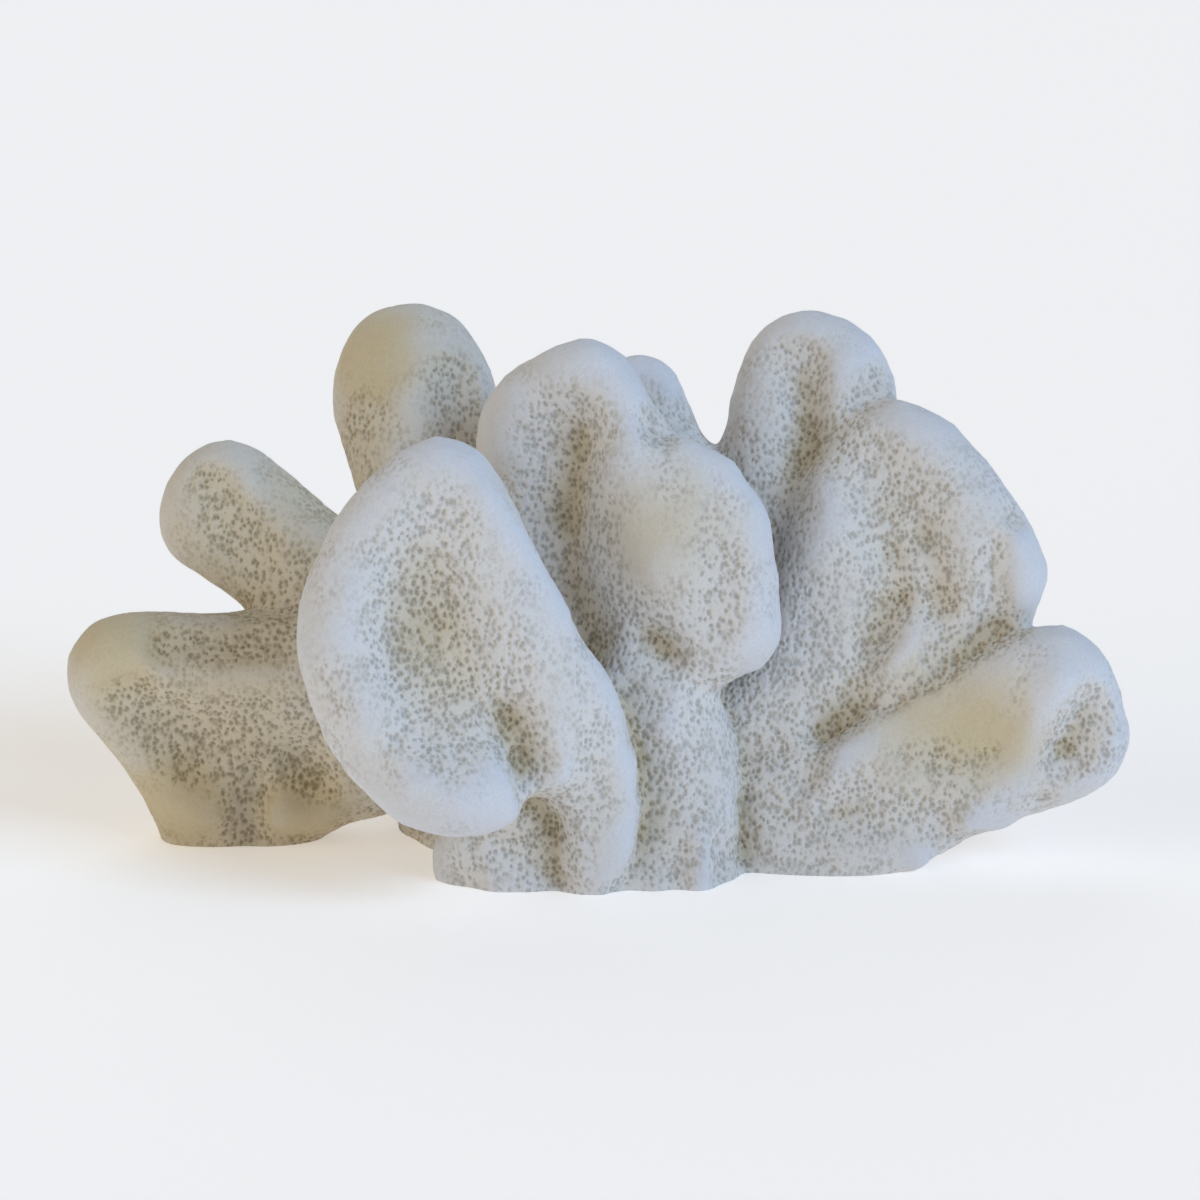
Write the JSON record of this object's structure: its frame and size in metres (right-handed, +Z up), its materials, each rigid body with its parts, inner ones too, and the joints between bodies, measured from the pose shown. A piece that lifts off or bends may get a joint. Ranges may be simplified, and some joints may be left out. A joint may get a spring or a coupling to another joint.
{
  "type": "branching coral",
  "caption": "White branching stony coral with thick rounded paddle lobes fanning up from a low foot, cut off flat underneath so that it stands on a surface.",
  "frame": {"origin": "middle of the coral's box seen from above, on the flat cut that it rests on", "axes": "+Z up, +X along the longest extent, and the broad show side faces -Y"},
  "size_m": [0.2608, 0.103, 0.1311],
  "materials": {
    "coral_skeleton": "dry, chalky, matt and finely porous, smoother and whiter along the rims"
  },
  "bodies": {
    "root": {"foot": "coral_skeleton", "front_left_lobe": "coral_skeleton", "centre_lobe": "coral_skeleton", "back_centre_lobe": "coral_skeleton", "back_right_lobe": "coral_skeleton", "right_lobe": "coral_skeleton", "low_right_lobe": "coral_skeleton", "low_left_lobe": "coral_skeleton", "back_left_finger": "coral_skeleton", "back_left_lobe": "coral_skeleton"}
  },
  "joints": []
}
